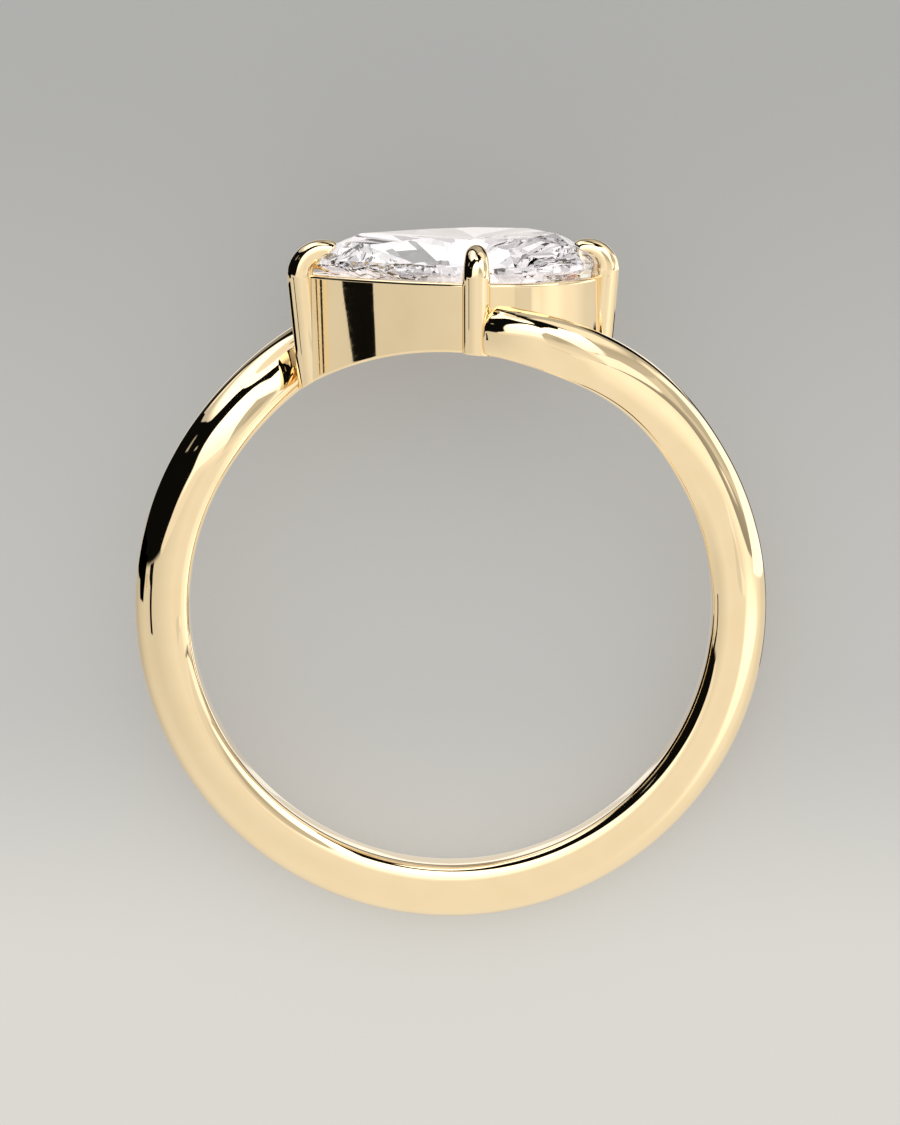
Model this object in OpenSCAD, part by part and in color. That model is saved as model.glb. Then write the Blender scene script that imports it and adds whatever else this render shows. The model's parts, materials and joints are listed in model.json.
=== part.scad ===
// Pear cut ring: a polished yellow gold bypass ring with one pear cut stone.
// The stone lies crosswise on the finger, point to the left and round end to the right,
// in a straight sided cup with four round claw prongs. The right arm of the band ends at
// the front prong and the left arm ends at the back prong.
//
// Two frames are used. In the ring's own frame the finger hole runs along z, +y leads from
// the hole to the stone and +z leads to the front face. rest() lays the ring on its side.

/* [Finger] */
// Diameter of the finger hole
finger_d = 16.5; // [16:0.1:18]

/* [Band] */
// Thickness of the band from the finger hole out
band_t = 1.74; // [1.5:0.02:2]
// Width of the band along the finger
band_w = 2; // [1.8:0.05:2.4]
// Width of each arm where it ends at a prong
arm_end_w = 1.5; // [1.4:0.05:1.8]
// How far each arm has swung to the front or to the back where it ends
arm_swing = 3.3; // [3.1:0.05:3.4]
// Height on the right, in degrees over the middle of the hole, where the arm starts to swing
right_start = -7; // [-10:1:-4]
// The same height on the left
left_start = 29; // [26:1:32]

/* [Stone] */
// Length of the stone from its point to its round end
stone_l = 9; // [8.8:0.05:9.2]
// Width of the stone
stone_w = 6; // [5.9:0.05:6.1]
// Table as a share of the stone
table_share = 0.68; // [0.6:0.01:0.7]
// Height of the crown over the girdle
crown_h = 0.75; // [0.7:0.01:0.9]
// Thickness of the girdle
girdle_t = 0.26; // [0.2:0.01:0.3]
// Depth of the pavilion under the girdle
pavilion_h = 2.2; // [2:0.05:2.3]
// Height of the girdle's lower edge over the top of the finger hole
stone_lift = 2.55; // [2.5:0.05:2.7]
// Clear gap between the stone and the metal
stone_gap = 0.03; // [0.02:0.005:0.05]

/* [Cup] */
// How far the cup's wall stands outside the stone's outline
cup_margin = 0.22; // [0.18:0.01:0.26]
// Thickness of the cup's wall
cup_wall = 0.65; // [0.6:0.01:0.7]
// How far the rim lies under the girdle's lower edge
rim_drop = 0.27; // [0.2:0.01:0.3]
// How far the feet of the cup and the prongs stand clear of the finger hole
foot_gap = 0.1; // [0.06:0.01:0.14]

/* [Prongs] */
// Diameter of a prong's rod
prong_d = 0.88; // [0.8:0.02:0.9]
// Radius of the claw's rounded tip
claw_tip_r = 0.34; // [0.3:0.01:0.38]
// Radius of the bend between rod and claw, at the middle of the rod
claw_bend_r = 0.6; // [0.58:0.01:0.66]
// The same radius of the prong at the stone's point, which bends in a wider arc
point_bend_r = 0.76; // [0.7:0.01:0.8]
// How far the top of the rod's middle line stands outside the cup's wall
prong_out = 0.15; // [0.1:0.01:0.2]
// Lean of a rod, in degrees, with its foot towards the middle of the cup
prong_lean = 5; // [4:0.5:6]
// Place of the front and back prongs along the stone, to the right of its middle
side_prong_x = 0.8; // [0.6:0.1:1]

/* [Hidden] */
$fn = 96;
gold = [0.93, 0.77, 0.5];
clear = [0.93, 0.91, 0.92];

finger_r = finger_d/2;
band_r = finger_r + band_t;

// The ring rests on its back face, on the foot of the band and the end of the left arm:
// turned this far about x and then about y, and moved to stand on z = 0 in its middle
rest_turn = [9.484, 2.1174];
rest_move = [0, -1.0861, 2.4836];

// The band's cross section is widest this far from the finger hole's wall, and its inner
// half reaches this far past the flat that it is cut to
band_waist = 0.55;
band_dip = 0.25;
// Sides of the cross section, and the step between sections in degrees
band_sides = 20;
band_step = 4;
// Heights over the middle of the hole, in degrees, where each arm has swung fully and
// starts to turn back to the cup, and a power that makes a slow start of its swing
right_full = 74;
right_bow = 1.88;
left_full = 83;
left_bow = 1;
// Angles from the foot of the band to the arms' ends: the right one stops at the front
// prong, and the left one passes the middle of the head to reach the back prong
right_end = 171.5;
left_end = 182.5;
// Rounding round an arm's end, and the sections that make it
nose_r = 0.2;
nose_steps = 3;
// How far the inner flat of each arm has risen off the hole's wall near its end, and the
// heights, in degrees, between which it rises
arm_rise = 0.16;
rise_start = 64;
rise_full = 83;
// Height where the arms' inner flats leave the hole's wall, and how far they first stand off
leave_start = 43;
leave_r = 0.01;
// The widest place of an arm's cross section near its end, and the heights between which
// it moves out to there
arm_waist = 0.97;
waist_start = 62;
waist_full = 76;
// How far the right arm stands off its round path halfway between two heights
right_lift = 0.14;
lift_start = 28;
lift_end = 84;
// Height where the arms start to grow narrower
taper_start = 42;

// The stone's outline is a round end and two flank arcs. The flanks leave the round end
// this many degrees round from its right and meet in the point.
flank_start = 105;
round_r = stone_w/2;
round_x = stone_l/2 - round_r;
point_x = -stone_l/2;
// Extra radius of each flank arc over the round end, so that the flanks meet in the point
flank_extra = (pow(point_x - round_x, 2) - round_r*round_r)/
    (2*round_r + 2*cos(flank_start)*(round_x - point_x));
flank_r = round_r + flank_extra;
flank_mid = [round_x - flank_extra*cos(flank_start), -flank_extra*sin(flank_start)];
flank_join_x = round_x + round_r*cos(flank_start);

// Facets are laid out round this point of the stone
facet_x = 0.76;
// Main facets round the stone, and girdle edges to each of them
mains = 8;
per_main = 4;
girdle_sides = mains*per_main;
// Corners between the main facets, as shares of the outline and of the height
star_share = 0.86;
star_rise = 0.62;
lower_share = 0.3;
lower_fall = 0.71;

girdle_y = finger_r + stone_lift;
rim_y = girdle_y - rim_drop;
prong_r = prong_d/2;
prong_sides = 20;
// Heights of the middle of the bends, of the front and back claws, of the round end's and
// of the point's: the claws' tops lie a little under the table
side_bend_y = girdle_y - 0.08;
end_bend_y = girdle_y - 0.16;
point_bend_y = girdle_y - 0.38;
// Extra lean of the prong at the point, in degrees, and how far it stands in from the
// end of a cup that went on to the stone's full length
point_lean = 1;
point_in = 0.15;
// Degrees by which a claw's end points down, and the steps of its bend
claw_droop = 10;
bend_steps = 8;
// Degrees of the rounding of a claw's end, and its steps
tip_turn = 80;
tip_steps = 3;
// The rods and the cup's wall are drawn down to here, and the finger hole trims them
foot_y = finger_r*0.72;

// Share of a smooth rise from 0 to 1
function smooth(t) = let (c = max(0, min(1, t))) c*c*(3 - 2*c);

// One closed solid through a list of rings, each a closed list of points
module loft(rings) {
    n = len(rings[0]);
    last = len(rings) - 1;
    polyhedron(
        points = [for (ring = rings) each ring],
        faces = concat(
            [[for (k = [0:n - 1]) k]],
            [for (i = [0:last - 1], k = [0:n - 1])
                [i*n + k, (i + 1)*n + k, (i + 1)*n + (k + 1)%n]],
            [for (i = [0:last - 1], k = [0:n - 1])
                [i*n + k, (i + 1)*n + (k + 1)%n, i*n + (k + 1)%n]],
            [[for (k = [n - 1:-1:0]) last*n + k]]));
}

// Swing of the band at an angle from its foot: to the front on the right (positive angles)
// and to the back on the left
function swing(h) = let (
        start = h > 0 ? right_start : left_start,
        full = h > 0 ? right_full : left_full,
        way = max(0, (abs(h) - 90 - start)/(full - start)),
        share = pow(way, h > 0 ? right_bow : left_bow))
    sign(h)*arm_swing*share*share*(3 - 2*share);

// Width of the band at an angle from its foot
function width(h) =
    band_w + (arm_end_w - band_w)*smooth((abs(h) - 90 - taper_start)/(90 - taper_start));

// How far the widest place of the band's cross section is from the finger hole's wall, and
// how far the right arm stands off its round path
function waist(h) = band_waist + (arm_waist - band_waist)*
    smooth((abs(h) - 90 - waist_start)/(waist_full - waist_start));
function lift(h) = h < 90 + lift_start || h > 90 + lift_end ? 0 :
    right_lift*pow(sin(180*(h - 90 - lift_start)/(lift_end - lift_start)), 2);

// Radius of the band's inner flat at an angle from its foot
function flat_r(h) = finger_r + max(lift(h), abs(h) - 90 < leave_start ? 0 : leave_r) +
    arm_rise*smooth((abs(h) - 90 - rise_start)/(rise_full - rise_start));

// One cross section of the band at an angle from its foot, shrunk by size
function band_ring(h, size) = let (
        slope = (swing(h + 0.5) - swing(h - 0.5))/(finger_r*PI/180),
        turn = atan(slope),
        out = [sin(h), -cos(h), 0],
        along = [cos(h), sin(h), 0],
        side = [0, 0, 1]*cos(turn) - along*sin(turn),
        waist_r = finger_r + waist(h),
        mid_r = finger_r + band_t/2)
    [for (k = [0:band_sides - 1]) let (
            a = 360*k/band_sides,
            deep = sin(a) > 0 ? band_r - waist_r : waist(h) + band_dip,
            r = mid_r + (waist_r + deep*sin(a) - mid_r)*size + lift(h),
            flat = flat_r(h) < finger_r + 0.005 ? 0 : flat_r(h))
        out*max(r, flat) + side*(width(h)/2*cos(a)*size) + [0, 0, swing(h)]];

// The whole band with its two arms, whose ends are flat with rounded edges
module band() {
    turns = [for (k = [nose_steps:-1:1]) k*90/nose_steps];
    nose = nose_r/band_r*180/PI;
    function shrunk(t) = 1 - 2*nose_r/band_t*(1 - cos(t));
    loft(concat(
        [for (t = turns) band_ring(-left_end + nose*(1 - sin(t)), shrunk(t))],
        [for (h = [-left_end + nose:band_step:right_end - nose]) band_ring(h, 1)],
        [for (k = [len(turns) - 1:-1:0])
            band_ring(right_end - nose*(1 - sin(turns[k])), shrunk(turns[k]))]));
}

// The stone's outline, grown by a distance, as flat shape
module pear(grow) {
    reach = 4*stone_l;
    // The flanks dip into the round end just right of where they meet it
    tuck = 0.1;
    dip = 0.004;
    circle_in_place(round_x, 0, round_r + grow);
    intersection() {
        circle_in_place(flank_mid[0], flank_mid[1] - dip, flank_r + grow);
        circle_in_place(flank_mid[0], dip - flank_mid[1], flank_r + grow);
        translate([flank_join_x + tuck - reach, -reach/2]) square(reach);
    }
}

module circle_in_place(x, y, r) {
    translate([x, y]) circle(r, $fn = 180);
}

// A straight wall on the stone's outline, from foot_y up to a height
module pear_block(grow, top) {
    translate([0, foot_y, 0])
        rotate([-90, 0, 0]) linear_extrude(top - foot_y) pear(grow);
}

// Distance from the facets' middle to the stone's outline, grown, in a direction
function to_circle(u, mid, r) = let (
        d = [facet_x, 0] - mid,
        b = d*[cos(u), sin(u)])
    -b + sqrt(b*b - d*d + r*r);
function outline_r(u, grow) = let (
        fold = u > 180 ? 360 - u : u,
        round = to_circle(fold, [round_x, 0], round_r + grow),
        flank = to_circle(fold, flank_mid, flank_r + grow))
    facet_x + round*cos(fold) > flank_join_x ? round : flank;
function stone_point(u, share, y, grow) =
    [facet_x + outline_r(u, grow)*share*cos(u), y, outline_r(u, grow)*share*sin(u)];

// The cut stone, grown by a distance: table, star, kite and girdle facets over the girdle,
// and main and half facets under it, down to a pointed culet
module cut_stone(grow) {
    step = 360/mains;
    top_y = girdle_y + girdle_t + grow/2;
    low_y = girdle_y - grow/2;
    table_y = girdle_y + girdle_t + crown_h + grow;
    culet_y = girdle_y - pavilion_h - grow;
    table = [for (k = [0:mains - 1]) stone_point(k*step, table_share, table_y, grow)];
    stars = [for (k = [0:mains - 1])
        stone_point((k + 0.5)*step, star_share, top_y + (table_y - top_y)*star_rise, grow)];
    upper = [for (j = [0:girdle_sides - 1]) stone_point(j*step/per_main, 1, top_y, grow)];
    lower = [for (j = [0:girdle_sides - 1]) stone_point(j*step/per_main, 1, low_y, grow)];
    halves = [for (k = [0:mains - 1])
        stone_point((k + 0.5)*step, lower_share, low_y + (culet_y - low_y)*lower_fall, grow)];
    // Where each group of corners starts in the list of points
    s = mains;
    g = s + mains;
    b = g + girdle_sides;
    p = b + girdle_sides;
    c = p + mains;
    polyhedron(
        points = concat(table, stars, upper, lower, halves, [[facet_x, culet_y, 0]]),
        faces = concat(
            [[for (k = [0:mains - 1]) k]],
            [for (k = [0:mains - 1]) let (next = (k + 1)%mains, prev = (k + mains - 1)%mains)
                each [
                    [next, k, s + k],
                    [s + k, k, g + per_main*k],
                    [k, s + prev, g + per_main*k],
                    [p + k, b + per_main*k, c],
                    [c, b + per_main*k, p + prev]]],
            [for (j = [0:girdle_sides - 1]) let (next = (j + 1)%girdle_sides,
                    k = floor(j/per_main))
                each [
                    [s + k, g + j, g + next],
                    [g + next, g + j, b + j, b + next],
                    [p + k, b + next, b + j]]]));
}

// One prong: a straight rod that leans, a bend over the girdle and a tapered claw.
// out is the way it faces and wall the point of the cup's wall behind it.
module prong(out, wall, lean, bend_r, bend_y) {
    up = [0, 1, 0];
    rod = out*sin(lean) + up*cos(lean);
    inward = up*sin(lean) - out*cos(lean);
    side = cross(out, up);
    seam = wall + out*prong_out + up*bend_y;
    bend_mid = seam + inward*bend_r;
    bend = 90 + lean + claw_droop;
    tip = bend_mid + (rod*sin(bend) - inward*cos(bend))*bend_r;
    tip_way = rod*cos(bend) + inward*sin(bend);
    drop = (bend_y - foot_y)/cos(lean);
    loft(concat(
        [prong_ring(seam - rod*drop, side, -inward, prong_r)],
        [for (i = [0:bend_steps]) let (
                a = bend*i/bend_steps,
                away = rod*sin(a) - inward*cos(a),
                r = prong_r + (claw_tip_r - prong_r)*i/bend_steps)
            prong_ring(bend_mid + away*bend_r, side, away, r)],
        [for (i = [1:tip_steps]) let (
                a = tip_turn*i/tip_steps,
                away = rod*sin(bend) - inward*cos(bend))
            prong_ring(tip + tip_way*claw_tip_r*sin(a), side, away, claw_tip_r*cos(a))]));
}

function prong_ring(mid, side, away, r) = [for (k = [0:prong_sides - 1]) let (
        a = 360*(k + 0.5)/prong_sides)
    mid + side*(r*cos(a)) + away*(r*sin(a))];

// The four prongs: at the round end, at the point, in front and behind
module prongs() {
    side_z = sqrt(pow(round_r + cup_margin, 2) - pow(side_prong_x - round_x, 2));
    end_x = stone_l/2 + cup_margin;
    prong([1, 0, 0], [end_x, 0, 0], prong_lean, claw_bend_r, end_bend_y);
    prong([-1, 0, 0], [point_in - end_x, 0, 0], prong_lean + point_lean,
        point_bend_r, point_bend_y);
    for (way = [1, -1])
        prong([0, 0, way], [side_prong_x, 0, way*side_z], prong_lean,
            claw_bend_r, side_bend_y);
}

// A long round cutter along the finger hole
module finger_cut(r) {
    cylinder(h = 4*band_r, r = r, center = true, $fn = 180);
}

// The soldered metal in one piece: band, cup and prongs, opened for the stone and the finger
module ring_metal() {
    difference() {
        union() {
            difference() {
                band();
                finger_cut(finger_r);
            }
            difference() {
                union() {
                    pear_block(cup_margin, rim_y);
                    prongs();
                }
                finger_cut(finger_r + foot_gap);
            }
        }
        pear_block(cup_margin - cup_wall, girdle_y);
        cut_stone(stone_gap);
    }
}

module rest() {
    translate(rest_move) rotate([rest_turn[0], rest_turn[1], 0]) children();
}

module gold_ring() {
    color(gold) rest() ring_metal();
}

module pear_stone() {
    color(clear) rest() cut_stone(0);
}

gold_ring();
pear_stone();
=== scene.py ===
import json
from math import atan, atan2, cos, degrees, hypot, inf, pi, radians, sin, sqrt

import bmesh
import bpy
from mathutils import Matrix, Vector


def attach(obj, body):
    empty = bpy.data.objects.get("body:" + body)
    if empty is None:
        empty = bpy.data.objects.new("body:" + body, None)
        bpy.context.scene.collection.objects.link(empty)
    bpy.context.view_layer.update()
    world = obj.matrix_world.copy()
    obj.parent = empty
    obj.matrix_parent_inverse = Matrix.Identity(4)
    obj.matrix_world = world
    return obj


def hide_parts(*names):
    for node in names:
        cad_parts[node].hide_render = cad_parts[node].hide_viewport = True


# A polished yellow gold bypass ring with one pear cut stone, lying on its back face.
# Shapes are made in the ring's own frame, in millimetres: the finger hole runs along z,
# +y leads from the hole to the stone and +z leads to the front face. The camera looks down
# on the front face at the photograph's angle.

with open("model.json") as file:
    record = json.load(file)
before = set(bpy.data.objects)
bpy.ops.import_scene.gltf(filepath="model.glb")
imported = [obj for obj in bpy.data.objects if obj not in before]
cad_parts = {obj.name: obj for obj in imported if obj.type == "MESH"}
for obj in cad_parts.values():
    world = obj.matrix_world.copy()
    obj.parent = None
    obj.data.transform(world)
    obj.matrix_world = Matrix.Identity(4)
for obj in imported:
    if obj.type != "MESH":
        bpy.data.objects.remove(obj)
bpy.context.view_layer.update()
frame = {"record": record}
hole = frame["record"]["mounts"][0]

# Finger hole and band, as in the part's source. Angles along the band count from its foot,
# and heights are degrees over the middle of the hole.
FINGER_R = hole["dims"]["r_mm"]
BAND_T = 1.74
BAND_R = FINGER_R + BAND_T
BAND_W = 2.0
# How far each arm has swung to the front or to the back where it has swung fully
ARM_SWING = 3.3
# Heights where an arm starts to swing and has swung fully, a power that slows the start,
# and the angle where the arm ends
RIGHT_START, RIGHT_FULL, RIGHT_BOW, RIGHT_END = -7, 74, 1.88, 171.5
LEFT_START, LEFT_FULL, LEFT_BOW, LEFT_END = 29, 83, 1.0, 182.5
# Width of an arm's end, and the height where the arms start to grow narrower
ARM_END_W, TAPER_START = 1.5, 42
# How far from the hole's wall the band is widest, and the same of the arms, with the
# heights between which this place moves out
BAND_WAIST = 0.55
ARM_WAIST, WAIST_START, WAIST_FULL = 0.97, 62, 76
# How far the inner flat of an arm rises off the hole's wall, and between which heights
ARM_RISE, RISE_START, RISE_FULL = 0.16, 64, 83
# How far the right arm stands off its round path halfway between two heights
RIGHT_LIFT, LIFT_START, LIFT_END = 0.14, 28, 84
# How far the round section reaches past the flat that it is cut to, and the cut's soft edge
BAND_DIP = 0.25
BAND_EDGE = 0.03
BAND_SIDES = 96
BAND_SECTIONS = 472
# Rounding of the arms' ends, in millimetres and as degrees along the band
NOSE_R = 0.2
NOSE_TURN = degrees(NOSE_R/BAND_R)
NOSE_STEPS = 10

# Stone. FACET_X is the point along it round which the facets are laid out.
STONE_L = 9.0
STONE_W = 6.0
STONE_LIFT = 2.55
STONE_GAP = 0.03
GIRDLE_T = 0.26
CROWN_H = 0.75
PAVILION_H = 2.2
FACET_X = 0.76
GIRDLE_SIDES = 32
CROWN_MAINS = 8
# The pavilion has more and smaller facets
PAVILION_MAINS = 12
# Corners of the facets, as shares of the outline and of the crown's or pavilion's height
TABLE_SHARE = 0.68
STAR_SHARE, STAR_RISE = 0.86, 0.62
LOWER_SHARE, LOWER_FALL = 0.3, 0.71
# A main facet takes the outline's direction from points this far to both sides, in radians
MAIN_REACH = 0.05
# The block that the stone is cut from, and how far under the girdle metal can meet the stone
BLOCK_SIZE = 14
NEAR_STONE = 1
# Heights of the girdle's lower and upper edge and of the table
GIRDLE_Y = FINGER_R + STONE_LIFT
CROWN_Y = GIRDLE_Y + GIRDLE_T
TABLE_Y = CROWN_Y + CROWN_H

# Pear outline: a round end and two flank arcs that meet in the point
FLANK_START = 105
ROUND_R = STONE_W/2
ROUND_X = STONE_L/2 - ROUND_R
POINT_X = -STONE_L/2
FLANK_EXTRA = ((POINT_X - ROUND_X)**2 - ROUND_R**2)/(
    2*ROUND_R + 2*cos(radians(FLANK_START))*(ROUND_X - POINT_X))
FLANK_R = ROUND_R + FLANK_EXTRA
FLANK_MID = (ROUND_X - FLANK_EXTRA*cos(radians(FLANK_START)),
             -FLANK_EXTRA*sin(radians(FLANK_START)))
FLANK_JOIN_X = ROUND_X + ROUND_R*cos(radians(FLANK_START))

# Cup: how far its wall stands outside the stone's outline, the wall's thickness and the
# roundness of its edges
CUP_MARGIN = 0.22
CUP_WALL = 0.65
CUP_EDGE = 0.1
CUP_SECTIONS = 320
# The rim lies this far under the girdle's lower edge, and the feet of the cup and the prongs
# stand this far clear of the finger hole
RIM_DROP = 0.27
RIM_Y = GIRDLE_Y - RIM_DROP
FOOT_GAP = 0.1
FOOT_R = FINGER_R + FOOT_GAP
# The seat is flat to this far inside the outline. Its inner edge goes through points this
# far out from the inner wall and down from the rim.
SEAT_IN = 0.3
SEAT_EDGE = ((0.05, 0.04), (0, 0.12))
# Narrow strips next to the wall's round edges, and a ring this deep under the rim, keep the
# wall's shading flat
STRIP = 0.02
WALL_MIDDLE = 1.2
# Steps of each round edge of the cup and of the prongs' feet
EDGE_STEPS = 6

# Prongs: each is a rod, a bend and a claw. The rod leans, with its foot towards the middle
# of the cup, and stands this far outside the cup's wall at its top.
PRONG_R = 0.44
PRONG_OUT = 0.15
PRONG_LEAN = 5
# The front and back prongs stand this far to the right of the stone's middle
SIDE_PRONG_X = 0.8
# The claw's round tip, the bend at the middle of the rod, the degrees by which the claw's
# end points down, and the heights of the bend's middle
CLAW_TIP_R = 0.34
CLAW_BEND_R = 0.6
CLAW_DROOP = 10
SIDE_BEND_Y = GIRDLE_Y - 0.08
END_BEND_Y = GIRDLE_Y - 0.16
# The prong at the stone's point leans more, bends wider and lower, and stands further in
POINT_LEAN = 1
POINT_BEND_R = 0.76
POINT_BEND_Y = GIRDLE_Y - 0.38
POINT_IN = 0.15
# Rings of a prong: across its foot as shares of its radius, along its rod as depths under
# the bend, and round its tip up to the last one's turn in degrees
FOOT_SHARES = (0.02, 0.4, 0.8)
FOOT_EDGE = 0.06
ROD_DEPTHS = (1.2, 0.5, 0.2)
BEND_STEPS = 28
TIP_TURN, TIP_STEPS = 88, 11
PRONG_SIDES = 56
# Rounds in which a point of the foot finds the round cut
FOOT_ROUNDS = 4

# Angles between faces over which their edge is left sharp, in degrees
METAL_SHARP = 35
STONE_SHARP = 0.5


def ring_place():
    """The ring's own frame, in millimetres, as it lies in the row frame, in metres."""
    way = Vector(hole["axis"])
    across = Vector((0, 1, 0)).cross(way).normalized()
    turn = Matrix((across, way.cross(across), way)).transposed().to_4x4()
    return Matrix.Translation(hole["pos_m"]) @ turn @ Matrix.Scale(0.001, 4)


PLACE = ring_place()


def smooth(t):
    """Share of a smooth rise from 0 to 1."""
    c = max(0.0, min(1.0, t))
    return c*c*(3 - 2*c)


# Meshes

def finish_mesh(name, mesh, sharp_angle):
    """Puts a mesh made in the ring's frame in its place, with its faces outwards."""
    mesh.transform(PLACE)
    work = bmesh.new()
    work.from_mesh(mesh)
    bmesh.ops.recalc_face_normals(work, faces=work.faces)
    work.to_mesh(mesh)
    work.free()
    mesh.shade_smooth()
    mesh.set_sharp_from_angle(angle=radians(sharp_angle))
    piece = bpy.data.objects.new(name, mesh)
    bpy.context.scene.collection.objects.link(piece)
    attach(piece, "root")
    return piece


def skin(rings, wrap):
    """Points and faces through rings of points. The ends are closed, or joined by wrap."""
    n = len(rings[0])
    points = [p for ring in rings for p in ring]
    last = len(rings) if wrap else len(rings) - 1
    faces = []
    for i in range(last):
        j = (i + 1) % len(rings)
        for k in range(n):
            m = (k + 1) % n
            faces.append((i*n + k, j*n + k, j*n + m, i*n + m))
    if not wrap:
        for i, ring in ((0, rings[0]), (len(rings) - 1, rings[-1])):
            points.append(sum(ring, Vector())/n)
            faces += [(i*n + k, i*n + (k + 1) % n, len(points) - 1) for k in range(n)]
    return points, faces


def loft(name, rings, wrap=False):
    """A piece of metal through rings of points."""
    points, faces = skin(rings, wrap)
    mesh = bpy.data.meshes.new(name)
    mesh.from_pydata(points, [], faces)
    return finish_mesh(name, mesh, METAL_SHARP)


# Band

def swing(h):
    """How far the band is to the front at an angle, on the right, or to the back, on the left.

    An arm that has swung fully turns back a little towards the cup.
    """
    start, full, bow = RIGHT_START, RIGHT_FULL, RIGHT_BOW
    if h < 0:
        start, full, bow = LEFT_START, LEFT_FULL, LEFT_BOW
    share = max(0.0, (abs(h) - 90 - start)/(full - start))**bow
    share = share*share*(3 - 2*share)
    return (ARM_SWING if h > 0 else -ARM_SWING)*share


def band_width(h):
    """Width of the band at an angle."""
    return BAND_W + (ARM_END_W - BAND_W)*smooth((abs(h) - 90 - TAPER_START)/(90 - TAPER_START))


def band_waist(h):
    """How far from the hole's wall the band is widest, at an angle."""
    share = smooth((abs(h) - 90 - WAIST_START)/(WAIST_FULL - WAIST_START))
    return BAND_WAIST + (ARM_WAIST - BAND_WAIST)*share


def arm_lift(h):
    """How far the right arm stands off its round path."""
    if not 90 + LIFT_START < h < 90 + LIFT_END:
        return 0.0
    return RIGHT_LIFT*sin(pi*(h - 90 - LIFT_START)/(LIFT_END - LIFT_START))**2


def flat_r(h):
    """Radius of the band's inner flat, which leaves the finger hole towards the arms' ends."""
    rise = smooth((abs(h) - 90 - RISE_START)/(RISE_FULL - RISE_START))
    return FINGER_R + arm_lift(h) + ARM_RISE*rise


def eased_out(p, radius):
    """Moves a point out of the finger hole, so that the hole's edges come out round."""
    far = hypot(p.x, p.y)
    d = far - radius
    eased = radius + (d + sqrt(d*d + 4*BAND_EDGE*BAND_EDGE))/2
    return Vector((p.x*eased/far, p.y*eased/far, p.z))


def band_ring(h, size):
    """One cross section of the band at an angle, shrunk by size and square to its run."""
    slope = (swing(h + 0.5) - swing(h - 0.5))/(FINGER_R*pi/180)
    turn = atan(slope)
    a = radians(h)
    out = Vector((sin(a), -cos(a), 0))
    along = Vector((cos(a), sin(a), 0))
    side = Vector((0, 0, 1))*cos(turn) - along*sin(turn)
    waist_r = FINGER_R + band_waist(h)
    mid_r = FINGER_R + BAND_T/2
    ring = []
    for k in range(BAND_SIDES):
        b = 2*pi*k/BAND_SIDES
        deep = BAND_R - waist_r if sin(b) > 0 else band_waist(h) + BAND_DIP
        r = mid_r + (waist_r + deep*sin(b) - mid_r)*size + arm_lift(h)
        p = out*r + side*(band_width(h)/2*cos(b)*size) + Vector((0, 0, swing(h)))
        ring.append(eased_out(p, flat_r(h)))
    return ring


def nose_rings(end, way):
    """Sections that round off one end of the band, from its tip inwards."""
    turns = [radians(90*k/NOSE_STEPS) for k in range(NOSE_STEPS, 0, -1)]
    return [band_ring(end + way*NOSE_TURN*(1 - sin(t)), 1 - 2*NOSE_R/BAND_T*(1 - cos(t)))
            for t in turns]


def gold_band():
    """The band with its two arms."""
    first, last = -LEFT_END + NOSE_TURN, RIGHT_END - NOSE_TURN
    rings = nose_rings(-LEFT_END, 1)
    rings += [band_ring(first + (last - first)*i/BAND_SECTIONS, 1)
              for i in range(BAND_SECTIONS + 1)]
    rings += reversed(nose_rings(RIGHT_END, -1))
    return loft("band", rings)


# Pear outline

def to_circle(u, mid, r):
    """Distance from the facets' middle to a circle, in a direction."""
    dx, dy = FACET_X - mid[0], -mid[1]
    b = dx*cos(u) + dy*sin(u)
    return -b + sqrt(b*b - dx*dx - dy*dy + r*r)


def outline_r(u, grow):
    """Distance from the facets' middle to the stone's outline, grown, in a direction."""
    fold = abs(atan2(sin(u), cos(u)))
    near = to_circle(fold, (ROUND_X, 0), ROUND_R + grow)
    if FACET_X + near*cos(fold) > FLANK_JOIN_X:
        return near
    return to_circle(fold, FLANK_MID, FLANK_R + grow)


def pear_point(u, grow, y, share=1.0):
    """A point at a height on the grown outline, or on a share of the way out to it."""
    r = outline_r(u, grow)*share
    return Vector((FACET_X + r*cos(u), y, r*sin(u)))


# Stone

def cut_plane(work, a, b, c):
    """Cuts a facet through three points and closes it."""
    middle = Vector((FACET_X, GIRDLE_Y + GIRDLE_T/2, 0))
    way = (b - a).cross(c - a).normalized()
    if way.dot(a - middle) < 0:
        way = -way
    whole = work.verts[:] + work.edges[:] + work.faces[:]
    cut = bmesh.ops.bisect_plane(work, geom=whole, plane_co=a, plane_no=way,
                                 clear_outer=True, dist=1e-6)
    edges = [e for e in cut["geom_cut"] if isinstance(e, bmesh.types.BMEdge)]
    if edges:
        bmesh.ops.contextual_create(work, geom=edges)


def cut_main(work, k, mains, y, tip, corner):
    """Cuts a main facet from the girdle to its tip, and two half facets to the corner by it."""
    u = 2*pi*k/mains
    girdle = pear_point(u, 0, y)
    tangent = pear_point(u + MAIN_REACH, 0, y) - pear_point(u - MAIN_REACH, 0, y)
    cut_plane(work, girdle, girdle + tangent, tip)
    for half in (0, 0.5):
        a = pear_point(2*pi*(k + half)/mains, 0, y)
        b = pear_point(2*pi*(k + half + 0.5)/mains, 0, y)
        cut_plane(work, a, b, corner)


def cut_girdle(work):
    up = Vector((0, 1, 0))
    for j in range(GIRDLE_SIDES):
        a = pear_point(2*pi*j/GIRDLE_SIDES, 0, GIRDLE_Y)
        b = pear_point(2*pi*(j + 1)/GIRDLE_SIDES, 0, GIRDLE_Y)
        cut_plane(work, a, b, a + up)


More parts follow.
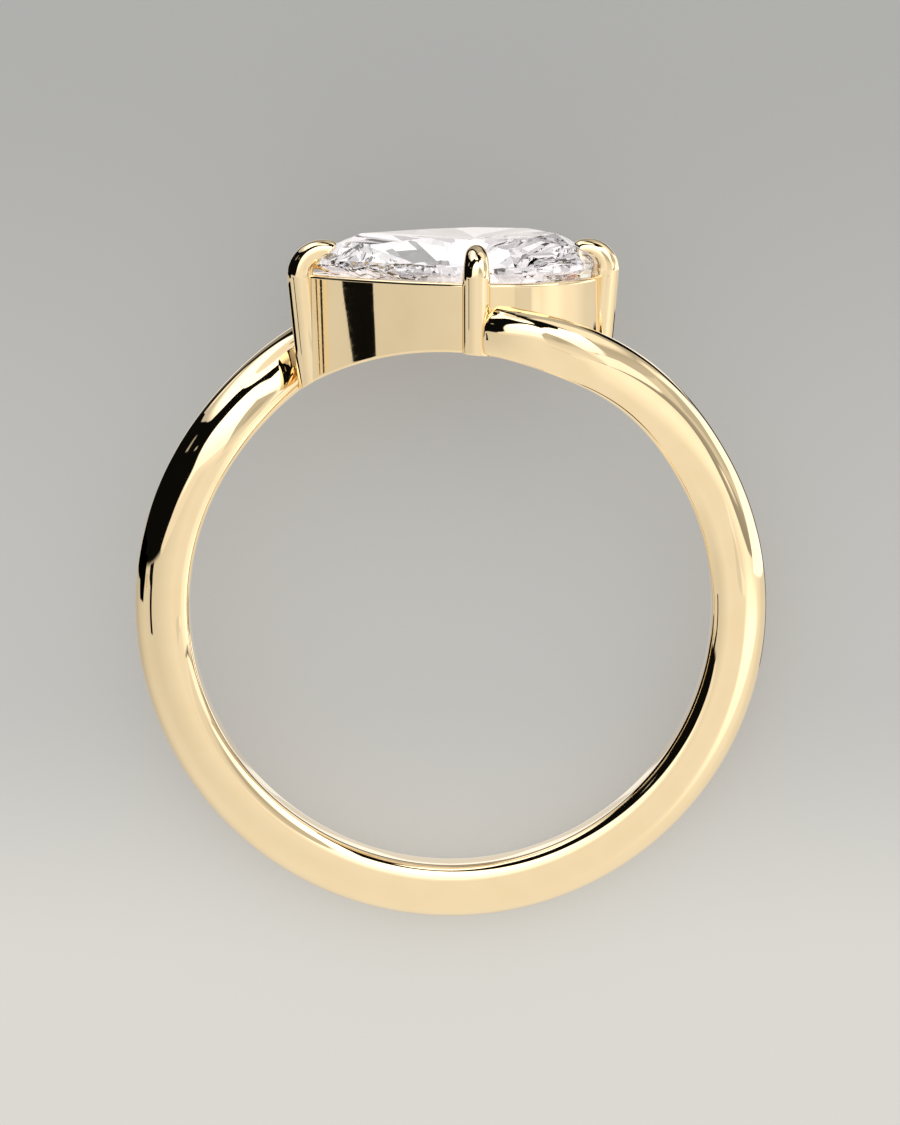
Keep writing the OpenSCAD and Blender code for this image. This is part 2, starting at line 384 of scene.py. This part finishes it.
def cut_crown(work):
    table = [pear_point(2*pi*k/CROWN_MAINS, 0, TABLE_Y, TABLE_SHARE)
             for k in range(CROWN_MAINS)]
    stars = [pear_point(2*pi*(k + 0.5)/CROWN_MAINS, 0, CROWN_Y + CROWN_H*STAR_RISE, STAR_SHARE)
             for k in range(CROWN_MAINS)]
    cut_plane(work, table[0], table[1], table[2])
    for k in range(CROWN_MAINS):
        cut_plane(work, table[k], table[(k + 1) % CROWN_MAINS], stars[k])
        cut_main(work, k, CROWN_MAINS, CROWN_Y, table[k], stars[k])


def cut_pavilion(work):
    culet = Vector((FACET_X, GIRDLE_Y - PAVILION_H, 0))
    for k in range(PAVILION_MAINS):
        lower = pear_point(2*pi*(k + 0.5)/PAVILION_MAINS, 0,
                           GIRDLE_Y - PAVILION_H*LOWER_FALL, LOWER_SHARE)
        cut_main(work, k, PAVILION_MAINS, GIRDLE_Y, culet, lower)


def stone_body():
    """A cut stone, made by cutting facets off a block as a cutter does."""
    work = bmesh.new()
    block = Matrix.Translation((FACET_X, GIRDLE_Y, 0)) @ Matrix.Scale(BLOCK_SIZE, 4)
    bmesh.ops.create_cube(work, size=1.0, matrix=block)
    cut_girdle(work)
    cut_crown(work)
    cut_pavilion(work)
    work.normal_update()
    return work


body = stone_body()
# Each facet of the stone as the way that it faces and its distance that way
STONE_FACETS = [(face.normal.copy(), face.normal.dot(face.verts[0].co)) for face in body.faces]


def clear_of_stone(p):
    """Moves a point of the metal out of the stone and the small gap about it."""
    if p.y < GIRDLE_Y - NEAR_STONE:
        return p
    best, way = -inf, None
    for normal, far in STONE_FACETS:
        over = normal.dot(p) - far - STONE_GAP
        if over >= 0:
            return p
        if over > best:
            best, way = over, normal
    return p - way*best


# Cup

def on_foot(p):
    """Height of the cup's and the prongs' feet, which follow the finger hole."""
    return sqrt(FOOT_R**2 - p.x**2)


def cup_section(u):
    """The wall at one place of the outline: rounded rim, seat, inner wall and rounded foot."""
    inner = CUP_MARGIN - CUP_WALL
    turns = [radians(90*k/EDGE_STEPS) for k in range(EDGE_STEPS + 1)]
    section = [pear_point(u, CUP_MARGIN, RIM_Y - CUP_EDGE - STRIP)]
    for t in reversed(turns):
        section.append(pear_point(u, CUP_MARGIN - CUP_EDGE*(1 - sin(t)),
                                  RIM_Y - CUP_EDGE*(1 - cos(t))))
    section += [pear_point(u, 0, RIM_Y), pear_point(u, -SEAT_IN, RIM_Y)]
    section += [pear_point(u, inner + out, RIM_Y - down) for out, down in SEAT_EDGE]
    for way, grow in ((1, inner), (-1, CUP_MARGIN)):
        for t in turns:
            turn = t if way > 0 else pi/2 - t
            p = pear_point(u, grow + way*CUP_EDGE*(1 - cos(turn)), 0)
            p.y = on_foot(p) + CUP_EDGE*(1 - sin(turn))
            section.append(p)
    low = pear_point(u, CUP_MARGIN, 0)
    low.y = on_foot(low) + CUP_EDGE + STRIP
    section += [low, pear_point(u, CUP_MARGIN, RIM_Y - WALL_MIDDLE)]
    return [clear_of_stone(p) for p in section]


def gold_cup():
    """The straight sided cup on the stone's outline."""
    sections = [cup_section(2*pi*i/CUP_SECTIONS) for i in range(CUP_SECTIONS)]
    return loft("cup", sections, wrap=True)


# Prongs

def prong(name, out, wall, lean, bend_r, bend_y):
    """A straight rod that leans, a bend over the girdle and a tapered claw.

    out is the way it faces and wall the point of the cup's wall behind it.
    """
    up = Vector((0, 1, 0))
    a = radians(lean)
    rod = out*sin(a) + up*cos(a)
    inward = up*sin(a) - out*cos(a)
    side = out.cross(up)
    seam = wall + out*PRONG_OUT + up*bend_y
    bend_mid = seam + inward*bend_r
    bend = radians(90 + lean + CLAW_DROOP)

    def circle(mid, away, r):
        angles = [2*pi*k/PRONG_SIDES for k in range(PRONG_SIDES)]
        return [clear_of_stone(mid + side*(r*cos(b)) + away*(r*sin(b))) for b in angles]

    def foot(r, rise):
        """A ring of the foot, at a height over the round cut along the finger hole."""
        ring = []
        for p in circle(seam, -inward, r):
            down = p.y - on_foot(p)
            for _ in range(FOOT_ROUNDS):
                q = p - rod*(down/rod.y)
                down = p.y - on_foot(q) - rise
            ring.append(p - rod*(down/rod.y))
        return ring

    rings = [foot(PRONG_R*share, 0) for share in FOOT_SHARES]
    for k in range(EDGE_STEPS + 1):
        t = radians(90*k/EDGE_STEPS)
        rings.append(foot(PRONG_R - FOOT_EDGE*(1 - sin(t)), FOOT_EDGE*(1 - cos(t))))
    rings += [circle(seam - rod*depth, -inward, PRONG_R) for depth in ROD_DEPTHS]
    for i in range(BEND_STEPS + 1):
        t = bend*i/BEND_STEPS
        away = rod*sin(t) - inward*cos(t)
        r = PRONG_R + (CLAW_TIP_R - PRONG_R)*i/BEND_STEPS
        rings.append(circle(bend_mid + away*bend_r, away, r))
    away = rod*sin(bend) - inward*cos(bend)
    tip_way = rod*cos(bend) + inward*sin(bend)
    for k in range(1, TIP_STEPS + 1):
        t = radians(TIP_TURN*k/TIP_STEPS)
        rings.append(circle(bend_mid + away*bend_r + tip_way*CLAW_TIP_R*sin(t), away,
                            CLAW_TIP_R*cos(t)))
    return loft(name, rings)


def gold_prongs():
    """The four prongs: at the round end, at the point, in front and behind."""
    side_z = sqrt((ROUND_R + CUP_MARGIN)**2 - (SIDE_PRONG_X - ROUND_X)**2)
    end_x = STONE_L/2 + CUP_MARGIN
    prongs = [
        prong("prong_round_end", Vector((1, 0, 0)), Vector((end_x, 0, 0)), PRONG_LEAN,
              CLAW_BEND_R, END_BEND_Y),
        prong("prong_point", Vector((-1, 0, 0)), Vector((POINT_IN - end_x, 0, 0)),
              PRONG_LEAN + POINT_LEAN, POINT_BEND_R, POINT_BEND_Y)]
    for name, way in (("prong_front", 1), ("prong_back", -1)):
        wall = Vector((SIDE_PRONG_X, 0, way*side_z))
        prongs.append(prong(name, Vector((0, 0, way)), wall, PRONG_LEAN, CLAW_BEND_R, SIDE_BEND_Y))
    return prongs


# Materials

# Two shades of the gold and of the stone that drift into each other
GOLD_SHADES = ((0.935, 0.765, 0.505, 1), (0.92, 0.745, 0.48, 1))
STONE_SHADES = ((0.985, 0.965, 0.97, 1), (0.97, 0.95, 0.965, 1))
# Roughness between the polishing marks and in them, and of the ground girdle
GOLD_ROUGH = (0.018, 0.05)
GIRDLE_ROUGH = (0.01, 0.04)
# Values of the noise between which the gold's shade, its marks and the girdle's grain turn
SHADE_SPAN, MARK_SPAN, GROUND_SPAN = (0.35, 0.75), (0.4, 0.8), (0.3, 0.7)
# Counts of the noise to a millimetre: slow waves and shade of the gold, grain of the girdle
# and shade of the stone
WAVE_SCALE, GOLD_SCALE, GROUND_SCALE, STONE_SCALE = 0.5, 0.9, 25.0, 0.8
# Depth of the polishing marks in millimetres, and of the waves as a multiple of it
MARK_DEPTH = 0.00006
WAVE_DEPTH = 10.0
# Middle radius of the band, for the length along it, and the marks' counts to a millimetre
MARK_R = 9.0
MARKS_ALONG, MARKS_ACROSS = 0.35, 9.0
# Distance from the girdle's edges where its ground finish starts and is full
GIRDLE_FADE = (0.005, 0.015)
DIAMOND_IOR = 2.42


class Nodes:
    """Short ways to add shader nodes."""

    def __init__(self, tree):
        self.tree = tree

    def add(self, kind, inputs=None, **settings):
        """A node of a kind, with its inputs by name or number."""
        node = self.tree.nodes.new(kind)
        for key, value in settings.items():
            setattr(node, key, value)
        self.fill(node, inputs or {})
        return node

    def fill(self, node, inputs):
        """Links sockets to a node's inputs and sets the others to their values."""
        for key, value in inputs.items():
            if isinstance(value, bpy.types.NodeSocket):
                self.tree.links.new(value, node.inputs[key])
            else:
                node.inputs[key].default_value = value

    def math(self, operation, a, b=0.0):
        return self.add("ShaderNodeMath", {0: a, 1: b}, operation=operation).outputs[0]

    def dot(self, a, b):
        node = self.add("ShaderNodeVectorMath", {0: a, 1: b}, operation="DOT_PRODUCT")
        return node.outputs["Value"]

    def rise(self, value, low, high, end_low=0.0, end_high=1.0):
        """A smooth rise from one end to the other while the value goes from low to high."""
        inputs = dict(enumerate((value, low, high, end_low, end_high)))
        node = self.add("ShaderNodeMapRange", inputs, interpolation_type="SMOOTHSTEP")
        return node.outputs["Result"]

    def mix(self, share, a, b, blend="MIX"):
        """Two colours, mixed by a share of the second."""
        node = self.add("ShaderNodeMix", {0: share, 6: a, 7: b}, data_type="RGBA",
                        blend_type=blend)
        return node.outputs[2]

    def ramp(self, value, stops):
        """Grey of a brightness that depends on the value, through (value, brightness) stops."""
        node = self.add("ShaderNodeValToRGB", {0: value})
        points = node.color_ramp.elements
        points[0].position, points[1].position = stops[0][0], stops[-1][0]
        for place, _ in stops[1:-1]:
            points.new(place)
        for point, (_, bright) in zip(points, stops):
            point.color = (bright, bright, bright, 1)
        return node.outputs["Color"]


def ring_axes():
    return [tuple(PLACE.to_3x3().col[i].normalized()) for i in range(3)]


def ring_spot(n):
    """Where a surface point is in the ring's own frame, in millimetres."""
    spot = n.add("ShaderNodeTexCoord").outputs["Object"]
    away = n.add("ShaderNodeVectorMath", {0: spot, 1: tuple(PLACE.translation)},
                 operation="SUBTRACT")
    return [n.dot(away.outputs["Vector"], tuple(1000*c for c in axis)) for axis in ring_axes()]


def grain(n, parts, detail=2.0, roughness=0.5):
    """Noise between about 0 and 1 over three scaled coordinates."""
    scaled = {i: n.math("MULTIPLY", part, scale) for i, (part, scale) in enumerate(parts)}
    joined = n.add("ShaderNodeCombineXYZ", scaled)
    noise = n.add("ShaderNodeTexNoise", {"Vector": joined.outputs[0], "Scale": 1.0,
                                         "Detail": detail, "Roughness": roughness})
    return noise.outputs[0]


def even_grain(n, spot, scale, detail=2.0):
    """Noise of the same scale all ways."""
    return grain(n, [(part, scale) for part in spot], detail)


def new_look(name):
    """A new material, its shader and its nodes."""
    look = bpy.data.materials.new(name)
    look.use_nodes = True
    return look, look.node_tree.nodes["Principled BSDF"], Nodes(look.node_tree)


def metal_look():
    """Polished gold with the faint marks of the polishing wheel running along the band."""
    look, shader, n = new_look("polished_gold")
    spot = ring_spot(n)
    x, y, z = spot
    along = n.math("MULTIPLY", n.math("ARCTAN2", x, y), MARK_R)
    out = n.math("SQRT", n.math("ADD", n.math("MULTIPLY", x, x), n.math("MULTIPLY", y, y)))
    marks = grain(n, ((along, MARKS_ALONG), (out, MARKS_ACROSS), (z, MARKS_ACROSS)), 3.0, 0.6)
    waves = even_grain(n, spot, WAVE_SCALE, 1.0)
    drift = even_grain(n, spot, GOLD_SCALE)
    height = n.math("ADD", marks, n.math("MULTIPLY", waves, WAVE_DEPTH))
    bump = n.add("ShaderNodeBump", {"Strength": 1.0, "Distance": MARK_DEPTH/1000,
                                    "Height": height})
    n.fill(shader, {
        "Base Color": n.mix(n.rise(drift, *SHADE_SPAN), *GOLD_SHADES),
        "Metallic": 1,
        "Roughness": n.rise(marks, *MARK_SPAN, *GOLD_ROUGH),
        "Normal": bump.outputs["Normal"]})
    return look


def stone_look():
    """Clear stone with a drift of shade, whose girdle is finely ground."""
    look, shader, n = new_look("clear_stone")
    spot = ring_spot(n)
    y = spot[1]
    start, full = GIRDLE_FADE
    girdle = n.math("MULTIPLY", n.rise(y, GIRDLE_Y + start, GIRDLE_Y + full),
                    n.rise(y, CROWN_Y - full, CROWN_Y - start, 1.0, 0.0))
    ground = even_grain(n, spot, GROUND_SCALE, 3.0)
    drift = even_grain(n, spot, STONE_SCALE)
    n.fill(shader, {
        "Base Color": n.mix(drift, *STONE_SHADES),
        "Transmission Weight": 1,
        "Roughness": n.math("MULTIPLY", girdle, n.rise(ground, *GROUND_SPAN, *GIRDLE_ROUGH)),
        "IOR": DIAMOND_IOR})
    return look


def dress(pieces, look):
    for piece in pieces:
        piece.data.materials.append(look)


metal = [gold_band(), gold_cup(), *gold_prongs()]
dress(metal, metal_look())
for piece in metal:
    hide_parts("gold_ring")
    # The stone shows the white studio through its back, and of the metal only this prong
    piece.visible_transmission = piece.name == "prong_round_end"
stone_mesh = bpy.data.meshes.new("stone")
body.to_mesh(stone_mesh)
body.free()
stone = finish_mesh("stone", stone_mesh, STONE_SHARP)
dress([stone], stone_look())
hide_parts("pear_stone")


# Camera

# Distance and rise of the camera, in millimetres and degrees, and the point that it looks
# at, to the right of and above the middle of the finger hole, all as fitted to the photograph
CAMERA_FAR = 280
CAMERA_RISE = 8
VIEW_MIDDLE = (-0.02, 1.333)
SENSOR = 36
FOCAL = 7.858*SENSOR


def set_camera():
    """The photograph's camera. Its place and its aim are laid out in the ring's own frame."""
    data = bpy.data.cameras.new("camera")
    data.sensor_width = SENSOR
    data.lens = FOCAL
    data.clip_start, data.clip_end = 0.01, 10
    camera = bpy.data.objects.new("camera", data)
    e = radians(CAMERA_RISE)
    back = Vector((0, sin(e), cos(e)))
    up = Vector((0, cos(e), -sin(e)))
    right = Vector((1, 0, 0))
    spot = back*CAMERA_FAR
    aim = (spot - right*VIEW_MIDDLE[0] - up*VIEW_MIDDLE[1]).normalized()
    side = up.cross(aim).normalized()
    turn = Matrix((side, aim.cross(side), aim)).transposed()
    look = PLACE.to_3x3() @ turn
    look.normalize()
    camera.matrix_world = Matrix.Translation(PLACE @ spot) @ look.to_4x4()
    bpy.context.scene.collection.objects.link(camera)
    bpy.context.scene.camera = camera


# Studio

# The studio is laid out by direction from the ring, in degrees: azimuth 0 is the way to the
# camera and 90 is to the right of it, and elevation 90 is the way from the hole to the
# stone. Each card has its name, its corners (azimuth, elevation) in turn, a soft edge in
# degrees, a low elevation with the brightness there, a high one with its own, and a tint.
WARM = (1.0, 0.965, 0.89)
WHITE = (1.0, 0.99, 0.97)
ORANGE = (1.0, 0.86, 0.62)
CARDS = [
    ("top_box",
     [(-143, 37), (-135, 29), (-125, 36), (-112, 38), (-100, 42.5), (-88, 46), (-77, 47.5),
      (-67, 50), (-58, 58), (-50, 66), (-38, 70.5), (-20, 73), (0, 72), (12, 69), (24, 67),
      (33, 65), (36, 70), (30, 88), (-150, 88), (-148, 60)],
     1.0, (44, 0.6, 60, 1.9), WHITE),
    ("top_streak",
     [(-145, 40), (-135, 33), (-126, 36), (-131, 42), (-139, 44)],
     1.0, (34, 1.1, 44, 1.2), WARM),
    ("zenith",
     [(-150, 77), (36, 77), (36, 88), (-150, 88)],
     3.0, (77, 1.05, 88, 0.95), WARM),
    ("back_glow",
     [(128, 31), (178, 31), (178, 76), (128, 76)],
     4.0, (31, 0.5, 76, 0.6), WARM),
    ("rear",
     [(174, 18), (207, 14), (207, 34), (196, 66), (176, 70)],
     3.0, (16, 0.3, 70, 0.5), WARM),
    ("side_base",
     [(68, 16), (84, 7), (147, 7), (140, 22), (138, 33), (126, 37), (100, 38), (84, 38),
      (76, 30)],
     1.0, (20, 0.62, 28, 0.55), WARM),
    ("side_glow",
     [(88, 36), (106, 31), (122, 33), (131, 40), (134, 62), (128, 78), (104, 78), (93, 60)],
     4.0, (36, 1.15, 60, 1.1), WARM),
    ("side_cream",
     [(110, 18), (130, 18), (124, 27), (112, 27)],
     2.0, (18, 1.25, 28, 1.1), WARM),
    ("front_low",
     [(-47, 0.9), (-44, -0.6), (44, -0.6), (62, 1.4), (64, 17), (-36, 17), (-35.5, 9),
      (-40, 4)],
     0.7, (1, 0.98, 10, 1.1), WARM),
    ("front_box",
     [(-34, 5), (-35.5, 14), (-36.5, 22), (-35.5, 31), (-32.5, 39.5), (-28, 45), (-20, 51.5),
      (-12, 56), (-2, 59), (8, 60.3), (18, 59), (24, 57), (33, 52.5), (45, 56), (58, 57),
      (70, 53), (84, 57), (92, 46), (80, 33), (69, 17.5), (60, 15), (16, 14), (0, 12.5),
      (-15, 9)],
     1.0, (12, 1.4, 45, 2.1), WHITE),
    ("tan_object",
     [(18, 3), (16.5, 12), (18, 26), (23, 33), (31, 38), (38, 34.5), (45, 30), (51, 24),
      (56, 16), (59, 3)],
     1.0, (8, 0.88, 22, 0.62), WARM),
    ("tan_core",
     [(31, 19), (36, 16), (46, 17), (46, 23), (39, 28), (33, 27)],
     3.0, (10, 0.52, 30, 0.52), WARM),
    ("side_tan",
     [(76, 1), (92, 1), (116, 8), (122, 16), (104, 20), (86, 14), (80, 8)],
     1.0, (3, 0.72, 12, 0.8), WARM),
    ("side_brown",
     [(94, 8.6), (104, 9.6), (116, 13), (112, 20), (103, 20), (98, 12)],
     1.0, (8, 0.56, 20, 0.6), WARM),
    ("dark_line",
     [(65, 0), (71, -0.6), (83, -0.6), (91, 5), (86, 6), (75, 5), (69, 2.6)],
     0.5, (0, 0.36, 6, 0.45), WARM),
    ("lobe",
     [(59, 0.4), (66, 1.4), (73, 2.9), (80, 4.2), (85, 8), (84, 13), (76, 17), (66, 17),
      (61, 12)],
     0.6, (5, 1.28, 15, 1.3), WHITE),
    ("side_box",
     [(80, -2.6), (150, -4), (150, 6), (144, 13), (130, 22), (118, 22), (116, 13),
      (104, 9.3), (96, 6.2), (88, 1.8)],
     0.8, (0, 1.6, 15, 1.45), WHITE),
    ("behind",
     [(140, -0.8), (201, -0.8), (198, 12), (192, 16), (157, 16), (146, 12)],
     1.2, (5, 1.0, 9, 1.2), WHITE),
    ("behind_line",
     [(164, -0.8), (176, 8.6), (180, 9.4), (184, 8.6), (196, -0.8), (193, 0.4), (183, 9.7),
      (180, 10.3), (177, 9.7), (167, 0.4)],
     0.12, (0, 0.75, 9, 0.8), WARM),
    ("wall_shade",
     [(18, -5.2), (37, -5.2), (37, -7.2), (18, -7.2)],
     0.4, (-9, 0.82, -4, 0.82), WARM),
    ("wall_glow",
     [(39, -5.4), (48, -5.4), (48, -7), (39, -7)],
     1.0, (-9, 1.15, -4, 1.15), WARM),
    ("corner_shade",
     [(139, 15), (153, 9), (157, 20), (154, 36), (141, 34)],
     2.0, (10, 0.0, 30, 0.0), WARM),
    ("left_patch",
     [(-89, 27), (-80, 28), (-81, 38), (-87, 37)],
     1.0, (27, 0.45, 38, 0.4), WARM),
    ("left_sliver",
     [(-58, 28), (-52, 29), (-53, 32), (-57, 31)],
     0.5, (28, 0.5, 32, 0.5), WARM),
    ("left_shade",
     [(-140, 2), (-88, 2), (-88, -3), (-92, -7), (-110, -6.5), (-118, -3), (-140, -2.5)],
     0.6, (-5, 0.0, 0, 0.0), WARM),
]
# Things that stand nearer to the ring than the cards, each with its distance: a brown
# frame, dark legs, a spot of light on the table and a dark edge
NEAR = [
    (170, ("frame",
           [(-84, -1.0), (-78.1, -1.7), (-76.8, -3.7), (-81, -4.4)],
           0.15, (-4, 0.85, -1, 0.9), ORANGE)),
    (165, ("frame_edge",
           [(-83.1, -1.2), (-82.4, -1.2), (-80.3, -3.8), (-80.6, -3.8)],
           0.1, (-4, 0.02, -1, 0.02), WARM)),
    (160, ("frame_gap",
           [(-81.1, -1.2), (-80.1, -1.2), (-78.6, -3.8), (-79.2, -3.8)],
           0.1, (-4, 0.0, -1, 0.02), WARM)),
    (150, ("leg",
           [(-73, 0.5), (-61.5, 0.5), (-61.1, -1.9), (-59.9, -3.4), (-60.3, -12),
            (-66.5, -12), (-66.4, -3.4), (-72, -1.9)],
           0.15, (-12, 0.0, 0, 0.006), WARM)),
    (40, ("post",
          [(-136, -1.5), (-99, -1.5), (-99, 6), (-136, 6)],
          0.15, (-12, 0.0, 0, 0.0), WARM)),
    (22, ("table_glow",
          [(66, -3), (76, -2.5), (84, -3), (87, -9), (81, -20), (76, -34), (73, -46),
           (70, -46), (67, -34), (64, -20), (62, -9)],
          3.5, (-46, 1.15, -6, 1.7), WARM)),
    (15, ("rim_shade",
          [(118, -14), (140, -14), (140, 32), (118, 32)],
          0.5, (-14, 0.0, 32, 0.0), WARM)),
]
# Distance of the first card in millimetres, and how much nearer each later one stands
CARD_FAR, CARD_NEARER = 2000, 30
# Degrees between the points of a card's edge, and rings from its middle to its edge
CARD_STEP = 5
CARD_RINGS = 8
# Brightness of the table top around the ring: azimuth and brightness
TABLE = [(-180, 0.55), (-130, 0.56), (-110, 0.7), (-88, 0.79), (-50, 0.76), (-30, 0.84),
         (0, 0.97), (20, 0.95), (44, 0.97), (52, 1.12), (60, 1.25), (70, 1.25), (80, 1.08),
         (96, 1.02), (106, 0.93), (116, 0.84), (135, 0.82), (180, 0.55)]
# A ramp's stops hold no brightness over 1, so they are given as shares of this one
TABLE_PEAK = 1.3
# The table straight under the ring, and the room over it. Directions count from -1, straight
# away, to 1: the table turns to its shade under the ring, and the room starts, between these
# directions upwards.
TABLE_UNDER = (0.96, 0.925, 0.855, 1)
ROOM = (0.004, 0.004, 0.004, 1)
UNDER_SPAN = (-1.0, -0.15)
ROOM_SPAN = (-0.015, 0.015)
# What the stone shows through its back, in patches, and towards the camera, with the
# patches' scale and the spans of noise and of direction in which the shades turn
STONE_WHITE, STONE_GREY = (1.3, 1.25, 1.25, 1), (0.75, 0.72, 0.73, 1)
STONE_FRONT = (0.5, 0.48, 0.49, 1)
PATCH_SCALE = 3.1
PATCH_SPAN = (0.42, 0.6)
FRONT_SPAN = (0.6, 0.97)
# What the camera sees past the floor, and the light that the floor gets
BACKDROP = (0.62, 0.61, 0.59, 1)
FLOOR_LIGHT = (1.0, 0.98, 0.95, 1)


def studio_world():
    """A pale table top below the ring, and a dark room above it for the cards."""
    world = bpy.data.worlds.new("studio")
    bpy.context.scene.world = world
    world.use_nodes = True
    n = Nodes(world.node_tree)
    way = n.add("ShaderNodeTexCoord").outputs["Generated"]
    x, y, z = [n.dot(way, axis) for axis in ring_axes()]
    around = n.math("ADD", n.math("DIVIDE", n.math("ARCTAN2", x, z), 2*pi), 0.5)
    table = n.ramp(around, [((a + 180)/360, bright/TABLE_PEAK) for a, bright in TABLE])
    table = n.mix(1.0, table, tuple(TABLE_PEAK*c for c in WARM) + (1,), "MULTIPLY")
    table = n.mix(n.rise(y, *UNDER_SPAN, 1.0, 0.0), table, TABLE_UNDER)
    light = n.mix(n.rise(y, *ROOM_SPAN), table, ROOM)
    patches = even_grain(n, (x, y, z), PATCH_SCALE, 1.0)
    white = n.mix(n.rise(patches, *PATCH_SPAN), STONE_WHITE, STONE_GREY)
    white = n.mix(n.rise(z, *FRONT_SPAN), white, STONE_FRONT)
    path = n.add("ShaderNodeLightPath")
    for ray, seen in (("Transmission", white), ("Camera", BACKDROP), ("Diffuse", FLOOR_LIGHT)):
        light = n.mix(path.outputs[f"Is {ray} Ray"], light, seen)
    n.fill(world.node_tree.nodes["Background"], {"Color": light})
    world.cycles.sampling_method = "NONE"


def card_mesh(name, corners, soft, bright, tint, far):
    """A card on a round wall about the ring, with its light and its fade as a colour."""
    low, low_bright, high, high_bright = bright
    rim = []
    for i, a in enumerate(corners):
        b = corners[(i + 1) % len(corners)]
        steps = max(1, round(hypot(b[0] - a[0], b[1] - a[1])/CARD_STEP))
        rim += [Vector(a).lerp(Vector(b), k/steps) for k in range(steps)]
    n = len(rim)
    middle = sum(rim, Vector((0, 0)))/n
    fade = soft/(sum((p - middle).length for p in rim)/n)
    shares = [k/CARD_RINGS for k in range(1, CARD_RINGS) if k/CARD_RINGS < 1 - fade]
    shares += [1 - fade, 1 + fade]
    points = [(middle, 1.0)]
    points += [(middle.lerp(p, share), 0.0 if share > 1 else 1.0) for share in shares for p in rim]
    faces = [(0, 1 + k, 1 + (k + 1) % n) for k in range(n)]
    for i in range(len(shares) - 1):
        for k in range(n):
            m = (k + 1) % n
            faces.append((1 + i*n + k, 1 + (i + 1)*n + k, 1 + (i + 1)*n + m, 1 + i*n + m))
    spots = []
    for p, _ in points:
        azimuth, elevation = radians(p.x), radians(p.y)
        spots.append(PLACE @ (Vector((sin(azimuth)*cos(elevation), sin(elevation),
                                      cos(azimuth)*cos(elevation)))*far))
    mesh = bpy.data.meshes.new(name)
    mesh.from_pydata(spots, [], faces)
    light = mesh.color_attributes.new("light", "FLOAT_COLOR", "POINT")
    for i, (p, share) in enumerate(points):
        glow = low_bright + (high_bright - low_bright)*smooth((p.y - low)/(high - low))
        light.data[i].color = (glow*tint[0], glow*tint[1], glow*tint[2], share)
    return mesh


def card_look(name):
    """Light of the card's own colour, which fades out over its soft edge."""
    look, shader, n = new_look(name)
    look.node_tree.nodes.remove(shader)
    light = n.add("ShaderNodeAttribute", attribute_name="light")
    glow = n.add("ShaderNodeEmission", {"Color": light.outputs["Color"]})
    clear = n.add("ShaderNodeBsdfTransparent")
    both = n.add("ShaderNodeMixShader",
                 {0: light.outputs["Alpha"], 1: clear.outputs[0], 2: glow.outputs[0]})
    n.fill(look.node_tree.nodes["Material Output"], {"Surface": both.outputs[0]})
    look.cycles.emission_sampling = "NONE"
    return look


def studio_card(name, corners, soft, bright, tint, far):
    """A card that only reflections show."""
    mesh = card_mesh(name, corners, soft, bright, tint, far)
    mesh.materials.append(card_look(name))
    card = bpy.data.objects.new(name, mesh)
    bpy.context.scene.collection.objects.link(card)
    card.visible_camera = False
    card.visible_transmission = False
    card.visible_diffuse = False


def set_studio():
    studio_world()
    for i, card in enumerate(CARDS):
        studio_card(*card, CARD_FAR - CARD_NEARER*i)
    for far, card in NEAR:
        studio_card(*card, far)


# Floor

# Shades of the floor from the picture's bottom to its top, and the distances up the picture from
# the part's middle, in metres, between which one turns into the next. These are painted shade: the
# floor is painted lighter at the picture's bottom and darker towards its top, as light falling off
# would make it.
FLOOR_LIT_BOTTOM, FLOOR_MIDDLE = (0.72, 0.71, 0.67, 1), (0.56, 0.556, 0.54, 1)
FLOOR_SHADED_TOP = (0.44, 0.443, 0.437, 1)
BOTTOM_TURN = (-0.013, -0.003)
TOP_TURN = (-0.004, 0.018)
# Shares of its shade that the floor sends back and that it shines with itself. Nearly half
# of its light is its own, so that the ring's shade on it stays faint.
FLOOR_BASE = 0.55
FLOOR_GLOW = 0.44
# Half of the floor's width, in metres
FLOOR_HALF = 1


def set_floor():
    """The pale floor under the ring."""
    mesh = bpy.data.meshes.new("floor")
    corners = [(x*FLOOR_HALF, y*FLOOR_HALF, 0) for x, y in ((-1, -1), (1, -1), (1, 1), (-1, 1))]
    mesh.from_pydata(corners, [], [(0, 1, 2, 3)])
    floor = bpy.data.objects.new("floor", mesh)
    bpy.context.scene.collection.objects.link(floor)
    look, shader, n = new_look("floor")
    spot = n.add("ShaderNodeSeparateXYZ", {0: n.add("ShaderNodeTexCoord").outputs["Object"]})
    up = spot.outputs["Y"]
    # Painted shade: the floor's colour darkens towards the picture's top, and its own glow carries
    # the same painted shade
    painted_falloff = n.mix(n.rise(up, *TOP_TURN), FLOOR_MIDDLE, FLOOR_SHADED_TOP)
    painted_falloff = n.mix(n.rise(up, *BOTTOM_TURN), FLOOR_LIT_BOTTOM, painted_falloff)
    n.fill(shader, {
        "Base Color": n.mix(1.0, painted_falloff, (FLOOR_BASE, FLOOR_BASE, FLOOR_BASE, 1), "MULTIPLY"),
        "Emission Color": painted_falloff,
        "Emission Strength": FLOOR_GLOW,
        "Roughness": 0.9,
        "Specular IOR Level": 0.1})
    mesh.materials.append(look)
    # The metal and the stone mirror the studio and not the floor that they lie on
    floor.visible_glossy = False
    floor.visible_transmission = False


# Light is followed through the many mirrorings inside the stone
STONE_BOUNCES = 12
MAX_BOUNCES = 16

set_camera()
set_studio()
set_floor()
bpy.context.scene.view_settings.view_transform = "Standard"
bpy.context.scene.cycles.max_bounces = MAX_BOUNCES
bpy.context.scene.cycles.glossy_bounces = STONE_BOUNCES
bpy.context.scene.cycles.transmission_bounces = STONE_BOUNCES
